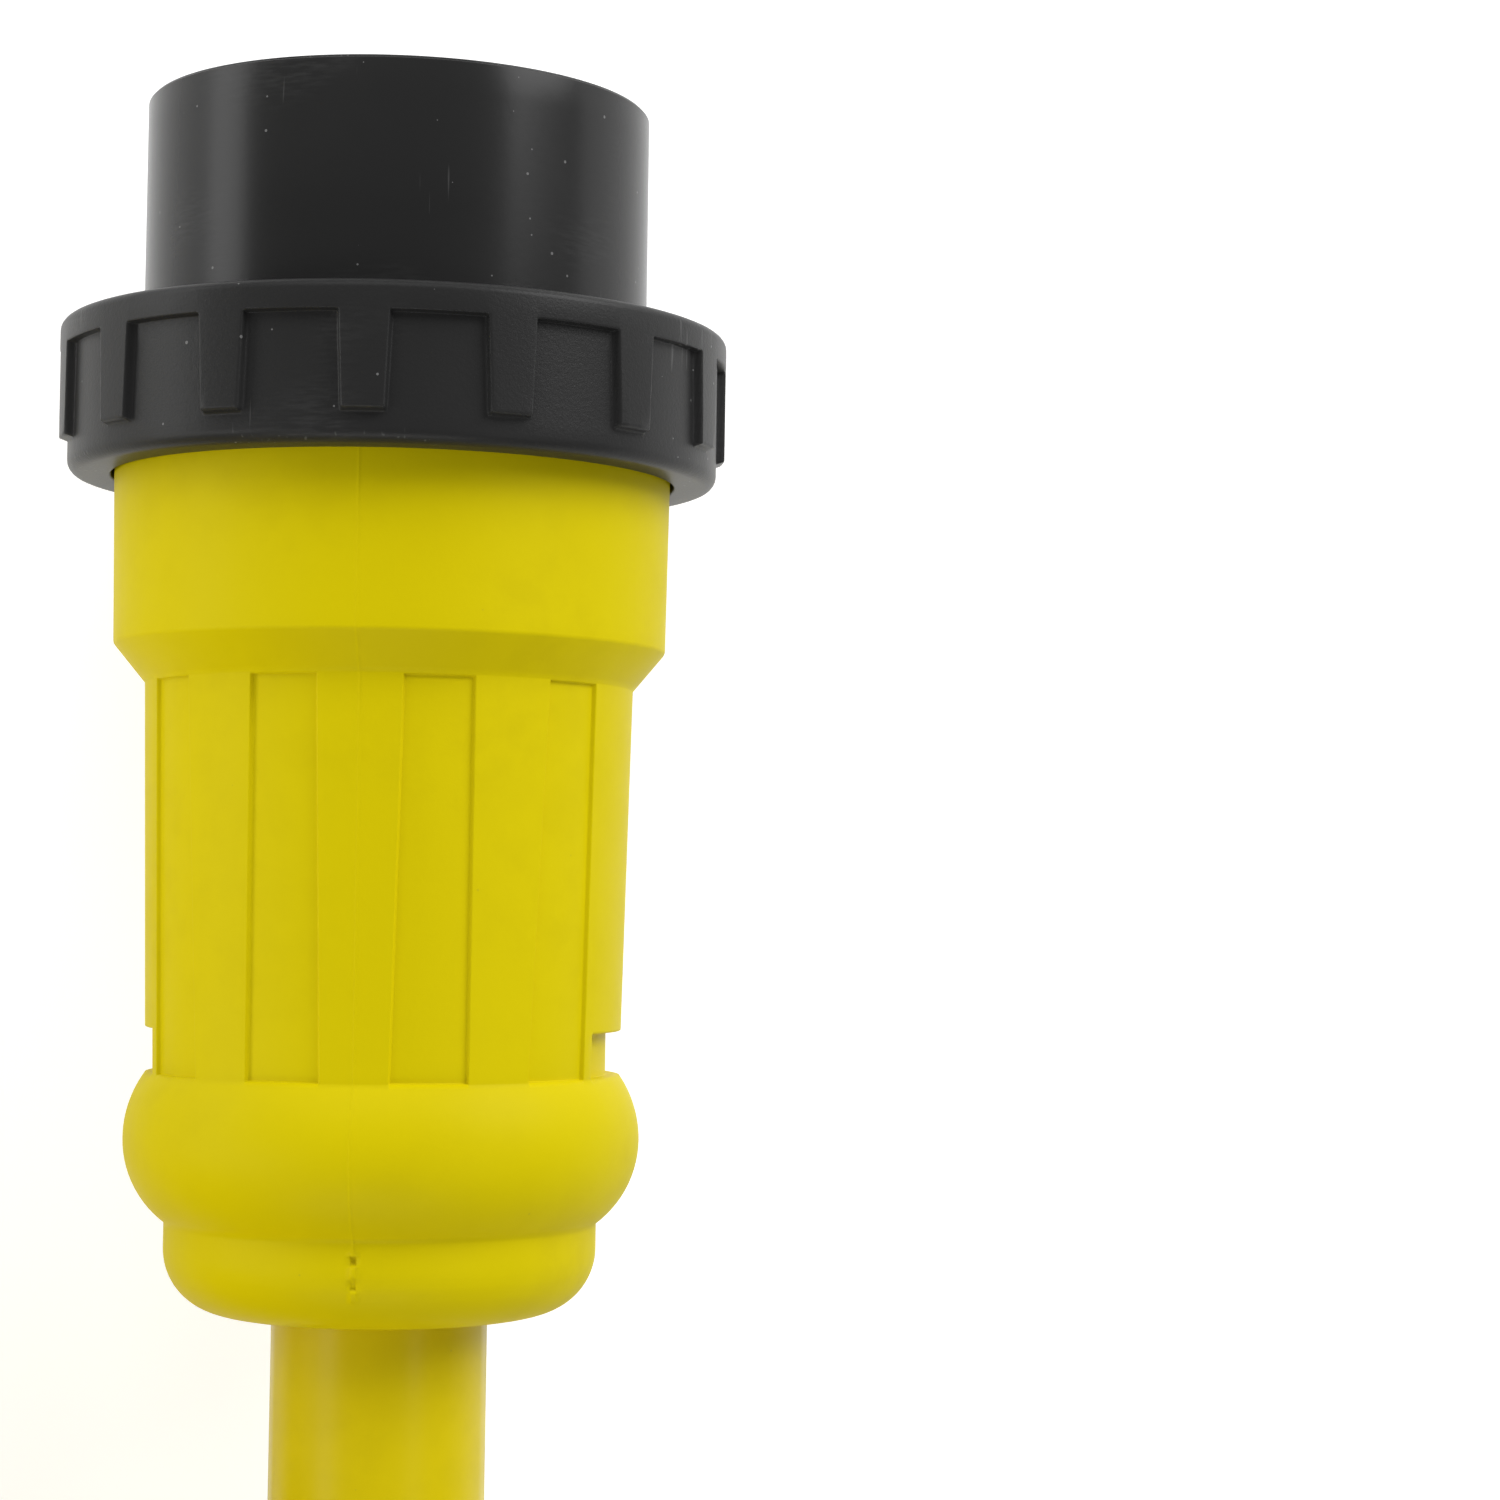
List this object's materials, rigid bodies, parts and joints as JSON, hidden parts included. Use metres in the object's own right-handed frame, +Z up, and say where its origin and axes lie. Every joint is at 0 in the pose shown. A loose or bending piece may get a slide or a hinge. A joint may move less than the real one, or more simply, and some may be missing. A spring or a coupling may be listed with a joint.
{
  "type": "shore power cord",
  "caption": "Shore power cord with a locking plug in a sealed boot, a coiled jacketed cord with a tie, and a matching locking connector.",
  "frame": {"origin": "on the floor under the middle of the plug, as it lies on its locking ring", "axes": "+Y along the plug from its cord to its face, +Z up, +X to the right of the plug with the coil on its left"},
  "size_m": [0.4196, 0.5172, 0.1045],
  "materials": {
    "boot_rubber": "satin moulded",
    "cord_jacket": "satin extruded",
    "ring_plastic": "matte moulded",
    "shroud_plastic": "satin moulded",
    "face_plastic": "matte moulded",
    "housing_plastic": "matte moulded",
    "nickel_shell": "nickel plated",
    "nickel_blade": "nickel plated",
    "screw_steel": "zinc plated",
    "terminal_brass": "tumbled",
    "insulation_green": "smooth",
    "insulation_black": "smooth",
    "insulation_white": "smooth",
    "copper_wire": "bare stranded",
    "tie_webbing": "woven"
  },
  "bodies": {
    "root": {"plug_boot": "boot_rubber", "plug_shroud": "shroud_plastic", "plug_shell": "nickel_shell", "plug_insert": "face_plastic", "plug_blade_ground": "nickel_blade", "plug_blade_hot": "nickel_blade", "plug_blade_neutral": "nickel_blade", "plug_ground_strap": "nickel_shell", "plug_face_screws": "screw_steel", "plug_rear_body": "housing_plastic", "plug_terminals": "terminal_brass", "plug_terminal_screws": "screw_steel", "plug_conductor_green": "insulation_green", "plug_conductor_black": "insulation_black", "plug_conductor_white": "insulation_white", "plug_copper_ends": "copper_wire", "plug_clamp_upper": "housing_plastic", "plug_clamp_lower": "housing_plastic", "plug_clamp_screws": "screw_steel", "plug_cord_end": "cord_jacket", "cord_lead": "cord_jacket", "cord_coil": "cord_jacket", "cord_tail": "cord_jacket", "coil_tie": "tie_webbing", "connector_boot": "boot_rubber", "connector_nose": "face_plastic", "connector_contact_ground": "nickel_blade", "connector_contact_hot": "nickel_blade", "connector_contact_neutral": "nickel_blade", "connector_lock_pins": "nickel_blade", "connector_face_screws": "screw_steel", "connector_rear_body": "housing_plastic", "connector_terminals": "terminal_brass", "connector_terminal_screws": "screw_steel", "connector_conductor_green": "insulation_green", "connector_conductor_black": "insulation_black", "connector_conductor_white": "insulation_white", "connector_copper_ends": "copper_wire", "connector_clamp_upper": "housing_plastic", "connector_clamp_lower": "housing_plastic", "connector_clamp_screws": "screw_steel", "connector_cord_end": "cord_jacket"},
    "plug_ring_body": {"plug_ring": "ring_plastic"},
    "connector_ring_body": {"connector_ring": "ring_plastic"}
  },
  "joints": [
    {"name": "plug_ring_spin", "type": "hinge", "parent": "root", "child": "plug_ring_body", "pos_m": [0, 0.0349, 0.03885], "axis": [0, 1, 0], "continuous": true},
    {"name": "connector_ring_spin", "type": "hinge", "parent": "root", "child": "connector_ring_body", "pos_m": [-0.342, 0.0509, 0.03885], "axis": [0, 1, 0], "continuous": true}
  ]
}
